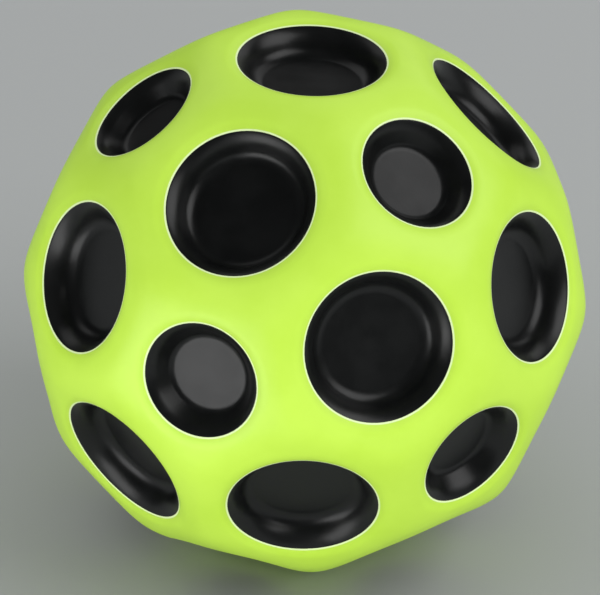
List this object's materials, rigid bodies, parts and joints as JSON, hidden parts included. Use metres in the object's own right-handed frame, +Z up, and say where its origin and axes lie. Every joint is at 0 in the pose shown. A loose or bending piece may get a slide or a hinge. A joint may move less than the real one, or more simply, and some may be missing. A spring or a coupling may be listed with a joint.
{
  "type": "bouncy ball",
  "caption": "Hand-sized high-bounce ball with a lime skin and round black-lined craters all over.",
  "frame": {"origin": "middle of the ball, which is also the middle of its box", "axes": "+Z up through the middles of the top and bottom large craters, with the ball standing on the flat ring round the bottom one; -Y towards the picture's camera"},
  "size_m": [0.0634, 0.0634, 0.0598],
  "materials": {
    "lime_skin": "satin",
    "black_lining": "satin",
    "bounce_core": "matte"
  },
  "bodies": {
    "root": {"bounce_core": "bounce_core", "lime_skin": "lime_skin", "large_crater_lining_01": "black_lining", "large_crater_lining_02": "black_lining", "large_crater_lining_03": "black_lining", "large_crater_lining_04": "black_lining", "large_crater_lining_05": "black_lining", "large_crater_lining_06": "black_lining", "large_crater_lining_07": "black_lining", "large_crater_lining_08": "black_lining", "large_crater_lining_09": "black_lining", "large_crater_lining_10": "black_lining", "large_crater_lining_11": "black_lining", "large_crater_lining_12": "black_lining", "large_crater_lining_13": "black_lining", "large_crater_lining_14": "black_lining", "large_crater_lining_15": "black_lining", "large_crater_lining_16": "black_lining", "large_crater_lining_17": "black_lining", "large_crater_lining_18": "black_lining", "large_crater_lining_19": "black_lining", "large_crater_lining_20": "black_lining", "small_crater_lining_01": "black_lining", "small_crater_lining_02": "black_lining", "small_crater_lining_03": "black_lining", "small_crater_lining_04": "black_lining", "small_crater_lining_05": "black_lining", "small_crater_lining_06": "black_lining", "small_crater_lining_07": "black_lining", "small_crater_lining_08": "black_lining", "small_crater_lining_09": "black_lining", "small_crater_lining_10": "black_lining", "small_crater_lining_11": "black_lining", "small_crater_lining_12": "black_lining"}
  },
  "joints": []
}
